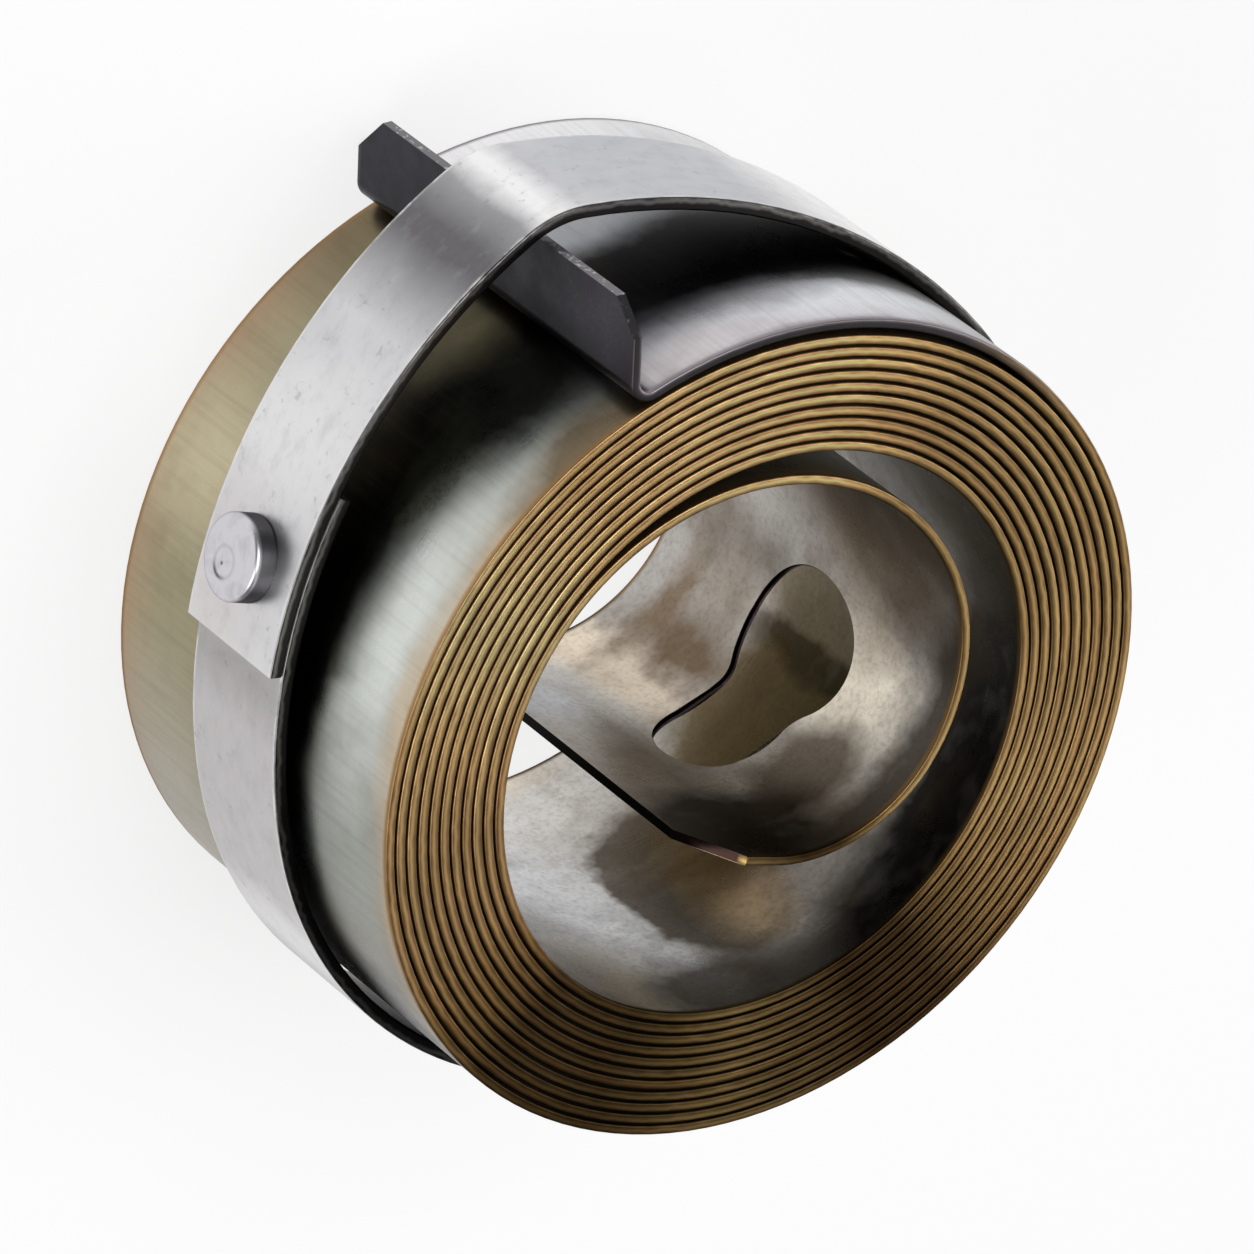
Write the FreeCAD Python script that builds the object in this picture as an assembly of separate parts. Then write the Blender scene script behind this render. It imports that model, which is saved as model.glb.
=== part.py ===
import FreeCAD, Part
import math
import os

# Spiral power spring, wound tight and held by a riveted retaining band.
# Millimetres and degrees. The coil axis is Z and the spring stands on its far rim at z = 0.
# Angles are measured from +X, and the strip winds outward counter-clockwise seen from above.
# The hook on the outer end points along +Y.

# Spring strip
strip_width = 45.0
strip_thickness = 0.9
turn_gap = 0.23
coil_radius = 40.0
packed_turns = 10
lift_off_angle = 18.0
merge_angle = 132.0

# Inner curl that grips the arbor: three stretches, with radii as ratios of the last turn's
curl_radius_ratios = (0.901, 0.704, 0.543)
curl_bend_angles = (129.0, 53.7, 76.2)
curl_tip_length = 7.9
curl_corner_length = 4.6
curl_corner_width = 5.5

# Keyhole punched in the curl: distances are from the strip's inner end to the two lobes' centres
keyhole_height = 23.2
keyhole_head_distance = 27.4
keyhole_head_radius = 7.6
keyhole_slot_distance = 15.3
keyhole_slot_half_width = 5.2
keyhole_waist_radius = 4.0

# Outer turn and hook
lift_run = 1.2
lifted_drop = 1.2
hook_angle = 89.4
hook_bend_radius = 2.0
hook_lean = 21.0
hook_leg_length = 7.4
hook_near_corner = 3.0
hook_far_corner = 4.0

# Retaining band
band_width = 14.0
band_middle_height = 23.0
band_thickness = 1.3
band_clearance = 0.1
band_lap_gap = 0.05
band_joins_coil_angle = 170.0
band_inner_end_angle = 122.5
band_outer_end_angle = 145.5
band_crest_radius = 9.0
band_crest_angle = 95.0

# Rivet through the lap
rivet_angle = 134.3
rivet_head_radius = 4.0
rivet_head_height = 2.2
rivet_head_chamfer = 0.4
rivet_shank_radius = 2.0
rivet_hole_clearance = 0.05
rivet_tail_radius = 3.0
rivet_tail_height = 0.8
rivet_tail_gap = 0.12

UP = FreeCAD.Vector(0, 0, 1)
turn_pitch = strip_thickness + turn_gap
band_leaves_coil_angle = lift_off_angle + 360.0


def direction(angle):
    """Unit vector in plan at an angle in degrees."""
    return FreeCAD.Vector(math.cos(math.radians(angle)), math.sin(math.radians(angle)), 0)


def angle_of(vector):
    """Angle of a plan vector in degrees."""
    return math.degrees(math.atan2(vector.y, vector.x))


class Trail:
    """The middle line of a strip in plan: straight runs and arcs, each tangent to the last."""

    def __init__(self, start, heading):
        self.end = start
        self.heading = heading
        self.runs = []

    def straight(self, length):
        self.runs.append((self.end, self.heading, length, 0.0))
        self.end = self.point(len(self.runs) - 1, 1.0, 0.0)

    def arc(self, radius, turn):
        """Bend by turn degrees, to the left if positive, at a radius of the middle line."""
        self.runs.append((self.end, self.heading, math.radians(abs(turn)) * radius, turn))
        self.end = self.point(len(self.runs) - 1, 1.0, 0.0)
        self.heading += turn

    def point(self, run, share, offset):
        """Point at a share of one run, offset to the left of the line."""
        start, heading, length, turn = self.runs[run]
        side = direction(heading + turn * share + 90.0) * offset
        if turn == 0.0:
            return start + direction(heading) * (length * share) + side
        chord_angle = turn * share
        radius = length / math.radians(abs(turn))
        chord = 2.0 * radius * math.sin(math.radians(abs(chord_angle)) / 2.0)
        return start + direction(heading + chord_angle / 2.0) * chord + side

    def side(self, offset, z):
        """Edges of the line, offset to the left, at a height."""
        lift = UP * z
        edges = []
        for run, (_, _, _, turn) in enumerate(self.runs):
            first, middle, last = (self.point(run, share, offset) + lift for share in (0.0, 0.5, 1.0))
            if turn == 0.0:
                edges.append(Part.makeLine(first, last))
            else:
                edges.append(Part.Arc(first, middle, last).toShape())
        return edges

    def station(self, distance):
        """Point and heading at a distance back from the line's end."""
        run = len(self.runs) - 1
        while distance > self.runs[run][2]:
            distance -= self.runs[run][2]
            run -= 1
        _, heading, length, turn = self.runs[run]
        share = 1.0 - distance / length
        return self.point(run, share, 0.0), heading + turn * share


def inner_trail():
    """Middle line from the lift-off point inward: packed turns, then the curl and its tip.

    Each half turn is an arc half a pitch tighter than the last, centred a quarter pitch off the axis.
    """
    half = strip_thickness / 2.0
    trail = Trail(direction(lift_off_angle) * (coil_radius - half), lift_off_angle - 90.0)
    radius = coil_radius - half - turn_pitch / 4.0
    for _ in range(2 * packed_turns + 1):
        trail.arc(radius, -180.0)
        radius -= turn_pitch / 2.0
    trail.arc(radius, -(lift_off_angle + 180.0 - merge_angle))
    for ratio, bend in zip(curl_radius_ratios, curl_bend_angles):
        trail.arc(ratio * radius, -bend)
    trail.straight(curl_tip_length)
    return trail


def hook_trail():
    """Middle line from the lift-off point outward: lifted outer turn and the hook on its end."""
    half = strip_thickness / 2.0
    trail = Trail(direction(lift_off_angle) * (coil_radius - half), lift_off_angle + 90.0)
    trail.straight(lift_run)
    trail.arc(coil_radius - lifted_drop - half, hook_angle - lift_off_angle)
    trail.arc(hook_bend_radius - half, 90.0 - hook_lean - trail.heading)
    trail.straight(hook_leg_length)
    return trail


def corner_wedge(trail, z, length, rise):
    """Wedge that takes a corner off a trail's end: length along the strip, rise along its width."""
    back = direction(trail.heading) * -length
    across = direction(trail.heading + 90.0) * strip_thickness
    corner = trail.end - across + UP * z
    points = [corner, corner + back, corner + UP * rise, corner]
    return Part.Face(Part.makePolygon(points)).extrude(across * 2.0)


def keyhole_bar(trail, distance, edges_at):
    """Bar through the curl, square to the strip at a distance from the trail's end."""
    origin, heading = trail.station(distance)
    origin = origin + UP * keyhole_height
    along = direction(heading)
    inward = direction(heading - 90.0)

    def at(x, z):
        return origin + along * x + UP * z

    bar = Part.Face(Part.Wire(edges_at(at))).extrude(inward * (keyhole_head_radius + strip_thickness))
    bar.translate(inward * -strip_thickness)
    return bar


def head_edges(at):
    """Edges of the keyhole's round lobe and its waist, up to where the sides run straight."""
    rise = keyhole_slot_half_width + keyhole_waist_radius
    reach = keyhole_head_radius + keyhole_waist_radius
    waist = math.sqrt(reach ** 2 - rise ** 2)
    tilt = math.degrees(math.atan2(rise, waist))
    half_tilt = math.radians(tilt + 90.0) / 2.0
    touch_x, touch_z = waist * keyhole_head_radius / reach, rise * keyhole_head_radius / reach
    mid_x = waist - keyhole_waist_radius * math.cos(half_tilt)
    mid_z = rise - keyhole_waist_radius * math.sin(half_tilt)
    return [
        Part.Arc(at(touch_x, touch_z), at(-keyhole_head_radius, 0.0), at(touch_x, -touch_z)).toShape(),
        Part.Arc(at(touch_x, -touch_z), at(mid_x, -mid_z), at(waist, -keyhole_slot_half_width)).toShape(),
        Part.makeLine(at(waist, -keyhole_slot_half_width), at(waist, keyhole_slot_half_width)),
        Part.Arc(at(waist, keyhole_slot_half_width), at(mid_x, mid_z), at(touch_x, touch_z)).toShape(),
    ]


def slot_edges(at):
    """Edges of the keyhole's slot, from its round end back to the head's waist."""
    half = keyhole_slot_half_width
    back = keyhole_head_distance - keyhole_slot_distance - keyhole_waist_radius
    return [
        Part.Arc(at(0.0, half), at(half, 0.0), at(0.0, -half)).toShape(),
        Part.makeLine(at(0.0, -half), at(-back, -half)),
        Part.makeLine(at(-back, -half), at(-back, half)),
        Part.makeLine(at(-back, half), at(0.0, half)),
    ]


def spring_strip():
    """The whole spring as one strip: hook, lifted outer turn, packed turns and curl."""
    inner = inner_trail()
    outer = hook_trail()
    half = strip_thickness / 2.0
    outside = inner.side(half, 0.0), outer.side(-half, 0.0)
    inside = inner.side(-half, 0.0), outer.side(half, 0.0)
    ends = [Part.makeLine(outside[i][-1].lastVertex().Point, inside[i][-1].lastVertex().Point)
            for i in (0, 1)]
    loop = outside[0][::-1] + outside[1] + [ends[1]] + inside[1][::-1] + inside[0] + [ends[0]]
    body = Part.Face(Part.Wire(loop)).extrude(UP * strip_width)

    cutters = [
        corner_wedge(outer, strip_width, hook_near_corner, -hook_near_corner),
        corner_wedge(outer, 0.0, hook_far_corner, hook_far_corner),
        corner_wedge(inner, strip_width, curl_corner_length, -curl_corner_width),
        corner_wedge(inner, 0.0, curl_corner_length, curl_corner_width),
        keyhole_bar(inner, keyhole_head_distance, head_edges),
        keyhole_bar(inner, keyhole_slot_distance, slot_edges),
    ]
    return body.cut(cutters)


def bridge_radius(centre, excess, contact_angle, inner_radius):
    """Radius of the arc that leaves a circle round the axis at an angle and touches another circle.

    The arc is tangent inside to the circle of inner_radius round the axis. At its other end its
    own radius plus excess reaches from its centre to the given centre.
    """
    along = centre.dot(direction(contact_angle))
    top = centre.Length ** 2 + inner_radius ** 2 - 2.0 * inner_radius * along - excess ** 2
    return top / (2.0 * (inner_radius + excess - along))


def ring_arc(centre, radius, start, end, z):
    """Arc edge counter-clockwise about a centre in plan."""
    points = [centre + direction(start + (end - start) * share) * radius + UP * z
              for share in (0.0, 0.5, 1.0)]
    return Part.Arc(*points).toShape()


def angle_after(angle, least):
    """The same direction as a number of degrees above least."""
    while angle < least:
        angle += 360.0
    return angle


def angle_from(centre, radius, polar_angle):
    """Direction from a centre to where its circle crosses a ray out of the axis."""
    ray = direction(polar_angle)
    along = centre.dot(ray)
    distance = along + math.sqrt(along ** 2 - centre.Length ** 2 + radius ** 2)
    return angle_of(ray * distance - centre)


def band_arcs(hook_tip):
    """Centre, inside radius, start and end angle of each arc of the band, from its inner end."""
    axis = FreeCAD.Vector(0, 0, 0)
    inside = coil_radius + band_clearance
    crest_inside = band_crest_radius
    crest = hook_tip - direction(band_crest_angle) * (crest_inside - band_clearance)
    step = band_thickness + band_lap_gap

    left_radius = bridge_radius(crest, step - crest_inside, band_joins_coil_angle, inside)
    left = direction(band_joins_coil_angle) * (inside - left_radius)
    right_radius = bridge_radius(crest, -crest_inside, band_leaves_coil_angle, inside)
    right = direction(band_leaves_coil_angle) * (inside - right_radius)

    inner_start = angle_from(left, left_radius, band_inner_end_angle)
    crest_start = angle_after(angle_of(crest - right), band_leaves_coil_angle)
    crest_end = angle_after(angle_of(crest - left), crest_start)
    outer_end = angle_after(angle_from(left, left_radius + step, band_outer_end_angle), crest_end)
    return [
        (left, left_radius, inner_start, band_joins_coil_angle),
        (axis, inside, band_joins_coil_angle, band_leaves_coil_angle),
        (right, right_radius, band_leaves_coil_angle, crest_start),
        (crest, crest_inside, crest_start, crest_end),
        (left, left_radius + step, crest_end, outer_end),
    ]


def rivet_frame(arcs):
    """Axis point on the lap's inside and on its outside, and the rivet's outward direction."""
    left, left_radius = arcs[0][0], arcs[0][1]
    outward = direction(angle_from(left, left_radius, rivet_angle))
    middle = UP * band_middle_height
    inside = left + outward * left_radius + middle
    outside = left + outward * (arcs[-1][1] + band_thickness) + middle
    return inside, outside, outward


def retaining_band(arcs):
    """Flat band bent round the coil and over the hook, with its ends lapped."""
    z = band_middle_height - band_width / 2.0
    inner = [ring_arc(c, r, a, b, z) for c, r, a, b in arcs]
    outer = [ring_arc(c, r + band_thickness, a, b, z) for c, r, a, b in arcs]
    start = Part.makeLine(inner[0].firstVertex().Point, outer[0].firstVertex().Point)
    end = Part.makeLine(inner[-1].lastVertex().Point, outer[-1].lastVertex().Point)
    loop = inner + [end] + outer[::-1] + [start]
    band = Part.Face(Part.Wire(loop)).extrude(UP * band_width)
    inside, outside, outward = rivet_frame(arcs)
    margin = band_thickness
    drill = Part.makeCylinder(rivet_shank_radius + rivet_hole_clearance,
                              (outside - inside).Length + 2.0 * margin, inside - outward * margin, outward)
    return band.cut(drill)


def lap_rivet(arcs):
    """Flat-headed rivet through both ends of the band, with its tail spread inside the lap.

    The rivet is turned from a profile of radius and height above the lap.
    """
    inside, outside, outward = rivet_frame(arcs)
    tail_top = -(outside - inside).Length - rivet_tail_gap
    tail_end = tail_top - rivet_tail_height
    profile = [
        (0.0, tail_end), (rivet_tail_radius, tail_end), (rivet_tail_radius, tail_top),
        (rivet_shank_radius, tail_top), (rivet_shank_radius, 0.0), (rivet_head_radius, 0.0),
        (rivet_head_radius, rivet_head_height - rivet_head_chamfer),
        (rivet_head_radius - rivet_head_chamfer, rivet_head_height), (0.0, rivet_head_height),
    ]
    points = [outside + outward * height + UP * radius for radius, height in profile]
    return Part.Face(Part.makePolygon(points + points[:1])).revolve(outside, outward, 360.0)


def main():
    os.makedirs("parts", exist_ok=True)
    hook = hook_trail()
    hook_tip = hook.point(len(hook.runs) - 1, 1.0, strip_thickness / 2.0)
    arcs = band_arcs(hook_tip)
    nodes = {
        "spring_strip": spring_strip(),
        "retaining_band": retaining_band(arcs),
        "lap_rivet": lap_rivet(arcs),
    }
    for name, shape in nodes.items():
        solid = shape.Solids[0] if len(shape.Solids) == 1 else shape
        box = solid.BoundBox
        print(f"{name}: solids {len(shape.Solids)} valid {shape.isValid()} volume {shape.Volume:.1f} "
              f"x {box.XMin:.2f} {box.XMax:.2f} y {box.YMin:.2f} {box.YMax:.2f} "
              f"z {box.ZMin:.2f} {box.ZMax:.2f}")
        solid.exportStep(f"parts/{name}.step")


main()
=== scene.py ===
"""Spiral power spring: a tempered strip wound tight, hooked outside, curled inside, held by a riveted band.

The strip and the band are each made flat, punched and trimmed, and then wound along their paths.
Lengths in the classes are millimetres and angles are degrees. A mesh is scaled to metres when it is finished.
"""

import logging
import math
from dataclasses import dataclass, field
from enum import Enum

import bmesh
import bpy
from mathutils import Matrix, Vector

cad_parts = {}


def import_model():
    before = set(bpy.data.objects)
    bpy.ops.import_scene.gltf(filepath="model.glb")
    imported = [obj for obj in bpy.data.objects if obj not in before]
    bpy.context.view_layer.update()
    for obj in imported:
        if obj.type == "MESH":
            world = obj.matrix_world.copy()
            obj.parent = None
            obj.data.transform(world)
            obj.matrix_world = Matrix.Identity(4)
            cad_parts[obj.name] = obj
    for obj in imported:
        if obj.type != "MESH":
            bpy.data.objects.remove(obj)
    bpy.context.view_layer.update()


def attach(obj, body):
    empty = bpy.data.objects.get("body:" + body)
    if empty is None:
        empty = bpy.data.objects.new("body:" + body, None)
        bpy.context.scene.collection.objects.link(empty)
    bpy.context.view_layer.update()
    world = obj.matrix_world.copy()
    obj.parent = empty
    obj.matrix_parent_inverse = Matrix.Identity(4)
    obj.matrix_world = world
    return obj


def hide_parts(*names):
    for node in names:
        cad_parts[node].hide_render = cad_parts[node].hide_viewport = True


LOG = logging.getLogger("spring")
MM = 0.001
WORLD_UP = Vector((0.0, 0.0, 1.0))
SHARP_ANGLE = 40.0
MERGE_DISTANCE = 1e-4
CUT_FACE = (0.985, 0.93)

Picked = tuple[int, int, int]
Colour = tuple[float, float, float, float]


def plan(angle: float) -> Vector:
    """Unit vector in plan at an angle in degrees."""
    return Vector((math.cos(math.radians(angle)), math.sin(math.radians(angle)), 0.0))


def srgb(red: int, green: int, blue: int) -> Colour:
    """Linear colour from the 0 to 255 values that a colour picker shows.

    Args:
        red: red value.
        green: green value.
        blue: blue value.

    Returns:
        Linear red, green and blue, and an alpha of 1.
    """
    def linear(value: float) -> float:
        """One value made linear."""
        share = value / 255.0
        return share / 12.92 if share <= 0.04045 else ((share + 0.055) / 1.055) ** 2.4
    return linear(red), linear(green), linear(blue), 1.0


@dataclass(frozen=True)
class Run:
    """One straight or one arc of a path, in plan."""

    start: Vector
    heading: float
    length: float
    turn: float

    def at(self, share: float, left: float = 0.0) -> Vector:
        """Point on the run.

        Args:
            share: 0 at the start and 1 at the end.
            left: distance to the left of the line of travel.

        Returns:
            The point, at height zero.
        """
        swung = self.turn * share
        side = plan(self.heading + swung + 90.0) * left
        if self.turn == 0.0:
            return self.start + plan(self.heading) * (self.length * share) + side
        radius = self.length / math.radians(abs(self.turn))
        chord = 2.0 * radius * math.sin(math.radians(abs(swung)) / 2.0)
        return self.start + plan(self.heading + swung / 2.0) * chord + side

    def reversed(self) -> "Run":
        """The same run, travelled the other way."""
        return Run(self.at(1.0), self.heading + self.turn + 180.0, self.length, -self.turn)


@dataclass
class Path:
    """The middle line of a strip in plan, as tangent runs."""

    end: Vector
    heading: float
    runs: list[Run] = field(default_factory=list)

    def straight(self, length: float) -> None:
        """Goes on in a straight line."""
        self._add(length, 0.0)

    def arc(self, radius: float, turn: float) -> None:
        """Bends by turn degrees, to the left if positive."""
        self._add(math.radians(abs(turn)) * radius, turn)

    def _add(self, length: float, turn: float) -> None:
        """Adds one run and moves the path's end to its end.

        Args:
            length: the run's length.
            turn: what it turns by, to the left if positive.
        """
        run = Run(self.end, self.heading, length, turn)
        self.runs.append(run)
        self.end = run.at(1.0)
        self.heading += turn

    def length(self) -> float:
        """Length of the middle line."""
        return sum(run.length for run in self.runs)

    def place(self, distance: float, left: float) -> Vector:
        """Point beside the path at a distance from its start.

        Args:
            distance: distance along the middle line.
            left: distance to the left of the line of travel.

        Returns:
            The point, at height zero.
        """
        for run in self.runs[:-1]:
            if distance <= run.length:
                return run.at(distance / run.length, left)
            distance -= run.length
        run = self.runs[-1]
        return run.at(distance / run.length, left)


@dataclass(frozen=True)
class SpringSizes:
    """Sizes of the wound strip."""

    width: float = 45.0
    thickness: float = 0.9
    turn_gap: float = 0.23
    coil_radius: float = 40.0
    packed_turns: int = 10
    lift_off_angle: float = 18.0
    merge_angle: float = 132.0
    curl_radius_ratios: tuple[float, ...] = (0.901, 0.704, 0.543)
    curl_bend_angles: tuple[float, ...] = (129.0, 53.7, 76.2)
    curl_tip_length: float = 7.9
    curl_corner: tuple[float, float] = (4.6, 5.5)
    keyhole_height: float = 23.2
    keyhole_head_distance: float = 27.4
    keyhole_head_radius: float = 7.6
    keyhole_slot_distance: float = 15.3
    keyhole_slot_half_width: float = 5.2
    keyhole_waist_radius: float = 4.0
    keyhole_lobe_steps: int = 48
    keyhole_waist_steps: int = 10
    lift_run: float = 1.2
    lifted_drop: float = 1.2
    hook_angle: float = 89.4
    hook_bend_radius: float = 2.0
    hook_lean: float = 21.0
    hook_leg_length: float = 7.4
    hook_near_corner: float = 3.0
    hook_far_corner: float = 4.0
    rolled_edge: float = 0.16

    @property
    def half(self) -> float:
        """Half the strip's thickness."""
        return self.thickness / 2.0

    @property
    def lift_point(self) -> Vector:
        """Point of the middle line where the outer turn leaves the coil."""
        return plan(self.lift_off_angle) * (self.coil_radius - self.half)

    def inner_path(self) -> Path:
        """Path from the lift-off point inward: packed turns, curl and tip.

        Returns:
            The path, which ends at the curl's tip.
        """
        pitch = self.thickness + self.turn_gap
        path = Path(self.lift_point, self.lift_off_angle - 90.0)
        radius = self.coil_radius - self.half - pitch / 4.0
        for _ in range(2 * self.packed_turns + 1):
            path.arc(radius, -180.0)
            radius -= pitch / 2.0
        path.arc(radius, -(self.lift_off_angle + 180.0 - self.merge_angle))
        for ratio, bend in zip(self.curl_radius_ratios, self.curl_bend_angles):
            path.arc(ratio * radius, -bend)
        path.straight(self.curl_tip_length)
        return path

    def hook_path(self) -> Path:
        """Path from the lift-off point outward: lifted turn and hook.

        Returns:
            The path, which ends at the hook's edge.
        """
        path = Path(self.lift_point, self.lift_off_angle + 90.0)
        path.straight(self.lift_run)
        path.arc(self.coil_radius - self.lifted_drop - self.half, self.hook_angle - self.lift_off_angle)
        path.arc(self.hook_bend_radius - self.half, 90.0 - self.hook_lean - path.heading)
        path.straight(self.hook_leg_length)
        return path

    def whole_path(self) -> Path:
        """Path from the inner end to the outer end.

        Returns:
            The inner path, reversed, and the hook's path after it.
        """
        inner = self.inner_path()
        path = Path(inner.end, inner.heading + 180.0)
        path.runs = [run.reversed() for run in reversed(inner.runs)] + self.hook_path().runs
        return path

    def hook_tip(self) -> Vector:
        """Corner of the hook's end that the band bears on."""
        return self.hook_path().runs[-1].at(1.0, self.half)


@dataclass(frozen=True)
class BandSizes:
    """Sizes of the retaining band."""

    width: float = 14.0
    middle_height: float = 23.0
    thickness: float = 1.3
    clearance: float = 0.1
    lap_gap: float = 0.05
    joins_coil_angle: float = 170.0
    inner_end_angle: float = 122.5
    outer_end_angle: float = 145.5
    crest_radius: float = 9.0
    crest_angle: float = 95.0
    sheared_edge: float = 0.22

    def arcs(self, spring: SpringSizes) -> list[tuple[Vector, float, float, float]]:
        """Arcs that the inside of the band follows, from its inner end.

        Args:
            spring: sizes of the strip that it holds.

        Returns:
            Centre, radius, start angle and end angle of each arc.
        """
        inside = spring.coil_radius + self.clearance
        crest = spring.hook_tip() - plan(self.crest_angle) * (self.crest_radius - self.clearance)
        leaves = spring.lift_off_angle + 360.0
        step = self.thickness + self.lap_gap
        left_radius = bridge_radius(crest, step - self.crest_radius, self.joins_coil_angle, inside)
        left = plan(self.joins_coil_angle) * (inside - left_radius)
        right_radius = bridge_radius(crest, -self.crest_radius, leaves, inside)
        right = plan(leaves) * (inside - right_radius)
        start = angle_from(left, left_radius, self.inner_end_angle)
        crest_start = angle_after(angle_of(crest - right), leaves)
        crest_end = angle_after(angle_of(crest - left), crest_start)
        end = angle_after(angle_from(left, left_radius + step, self.outer_end_angle), crest_end)
        return [
            (left, left_radius, start, self.joins_coil_angle),
            (Vector(), inside, self.joins_coil_angle, leaves),
            (right, right_radius, leaves, crest_start),
            (crest, self.crest_radius, crest_start, crest_end),
            (left, left_radius + step, crest_end, end),
        ]

    def path(self, spring: SpringSizes) -> Path:
        """Middle line of the band, from its inner end to its outer end.

        Args:
            spring: sizes of the strip that it holds.

        Returns:
            The path.
        """
        arcs = self.arcs(spring)
        centre, radius, start, _ = arcs[0]
        path = Path(centre + plan(start) * (radius + self.thickness / 2.0), start + 90.0)
        for _, radius, start, end in arcs:
            path.arc(radius + self.thickness / 2.0, end - start)
        return path


def bridge_radius(centre: Vector, excess: float, contact: float, inner: float) -> float:
    """Radius of the arc tangent to the coil's circle at one end and to a second circle at the other.

    Args:
        centre: centre of the second circle.
        excess: what the arc's radius exceeds the distance between the two centres by, negated.
        contact: angle at which the arc leaves the coil's circle.
        inner: radius of the coil's circle.

    Returns:
        The arc's radius.
    """
    along = centre.dot(plan(contact))
    top = centre.length ** 2 + inner ** 2 - 2.0 * inner * along - excess ** 2
    return top / (2.0 * (inner + excess - along))


def angle_of(vector: Vector) -> float:
    """Angle of a plan vector in degrees."""
    return math.degrees(math.atan2(vector.y, vector.x))


def angle_after(angle: float, least: float) -> float:
    """The same direction as a number of degrees above least.

    Args:
        angle: the direction in degrees.
        least: the least that is returned.

    Returns:
        The direction in degrees, not below least.
    """
    while angle < least:
        angle += 360.0
    return angle


def angle_from(centre: Vector, radius: float, polar: float) -> float:
    """Direction from a circle's centre to where the circle crosses a ray out of the axis.

    Args:
        centre: the circle's centre.
        radius: its radius.
        polar: the ray's angle.

    Returns:
        The direction in degrees.
    """
    ray = plan(polar)
    along = centre.dot(ray)
    distance = along + math.sqrt(along ** 2 - centre.length ** 2 + radius ** 2)
    return angle_of(ray * distance - centre)


class Layer(Enum):
    """Names of the data that the materials read from a wound strip."""

    FLAT = "flat"
    OUTWARD = "outward"


@dataclass
class Blank:
    """A flat strip along +X, its width along +Z and its inward side along +Y, before it is wound."""

    width: float
    thickness: float
    edge: float
    base: float = 0.0
    edge_segments: int = 3
    mesh: bmesh.types.BMesh = field(default_factory=bmesh.new)

    def draw(self, path: Path, degrees: float, reach: float) -> None:
        """Draws the strip out along the path's runs.

        Args:
            path: the path that it will be wound on.
            degrees: largest turn of one step.
            reach: largest length of one step.
        """
        corners = bmesh.ops.create_grid(self.mesh, x_segments=1, y_segments=1, size=0.5)["verts"]
        size = Matrix.Diagonal((self.width, self.thickness, 1.0, 1.0))
        upright = Matrix.Rotation(math.radians(-90.0), 4, "Y")
        lift = Matrix.Translation((0.0, 0.0, self.base + self.width / 2.0))
        bmesh.ops.transform(self.mesh, matrix=lift @ upright @ size, verts=corners)
        bmesh.ops.bevel(self.mesh, geom=corners, offset=self.edge, offset_type="OFFSET",
                        segments=self.edge_segments, profile=0.5, affect="VERTICES", material=-1)
        bmesh.ops.delete(self.mesh, geom=self.mesh.faces[:], context="FACES_ONLY")
        loop = self.mesh.verts[:] + self.mesh.edges[:]
        first = self.mesh.edges[:]
        for run in path.runs:
            steps = max(1, math.ceil(abs(run.turn) / degrees), math.ceil(run.length / reach))
            drawn = bmesh.ops.spin(self.mesh, geom=loop, cent=(0, 0, 0), axis=(0, 0, 1), angle=0.0,
                                   dvec=(run.length / steps, 0, 0), steps=steps, use_duplicate=False)
            loop = drawn["geom_last"]
        last = [item for item in loop if isinstance(item, bmesh.types.BMEdge)]
        bmesh.ops.edgeloop_fill(self.mesh, edges=first)
        bmesh.ops.edgeloop_fill(self.mesh, edges=last)
        bmesh.ops.recalc_face_normals(self.mesh, faces=self.mesh.faces[:])

    def trim(self, corner: Vector, outward: Vector) -> None:
        """Cuts off what lies beyond a plane, and closes the cut.

        Args:
            corner: a point on the plane.
            outward: the plane's normal, towards what is cut off.
        """
        whole = self.mesh.verts[:] + self.mesh.edges[:] + self.mesh.faces[:]
        cut = bmesh.ops.bisect_plane(self.mesh, geom=whole, plane_co=corner, plane_no=outward,
                                     clear_outer=True, dist=1e-5)
        edges = [item for item in cut["geom_cut"] if isinstance(item, bmesh.types.BMEdge)]
        bmesh.ops.edgeloop_fill(self.mesh, edges=edges)

    def punch(self, cutter: bmesh.types.BMesh) -> None:
        """Cuts the cutter's form out of the flat strip.

        Args:
            cutter: a closed mesh, which is freed.
        """
        strip, tool = mesh_object("blank", self.mesh), mesh_object("tool", cutter)
        cut = strip.modifiers.new("punch", "BOOLEAN")
        cut.operation = "DIFFERENCE"
        cut.solver = "EXACT"
        cut.object = tool
        shape = strip.evaluated_get(bpy.context.evaluated_depsgraph_get())
        self.mesh = bmesh.new()
        self.mesh.from_mesh(shape.to_mesh())
        shape.to_mesh_clear()
        for spent in (strip, tool):
            bpy.data.objects.remove(spent)

    def wind(self, path: Path) -> bmesh.types.BMesh:
        """Winds the strip along its path, and keeps where each point lay while it was flat.

        Args:
            path: the path that it was drawn out for.

        Returns:
            The wound mesh, in millimetres.
        """
        flat = self.mesh.loops.layers.uv.new(Layer.FLAT.value)
        outward = self.mesh.verts.layers.float.new(Layer.OUTWARD.value)
        for face in self.mesh.faces:
            for corner in face.loops:
                corner[flat].uv = corner.vert.co.x * MM, corner.vert.co.z * MM
        for vert in self.mesh.verts:
            vert[outward] = -2.0 * vert.co.y / self.thickness
            vert.co = path.place(vert.co.x, vert.co.y) + WORLD_UP * vert.co.z
        return self.mesh


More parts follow.
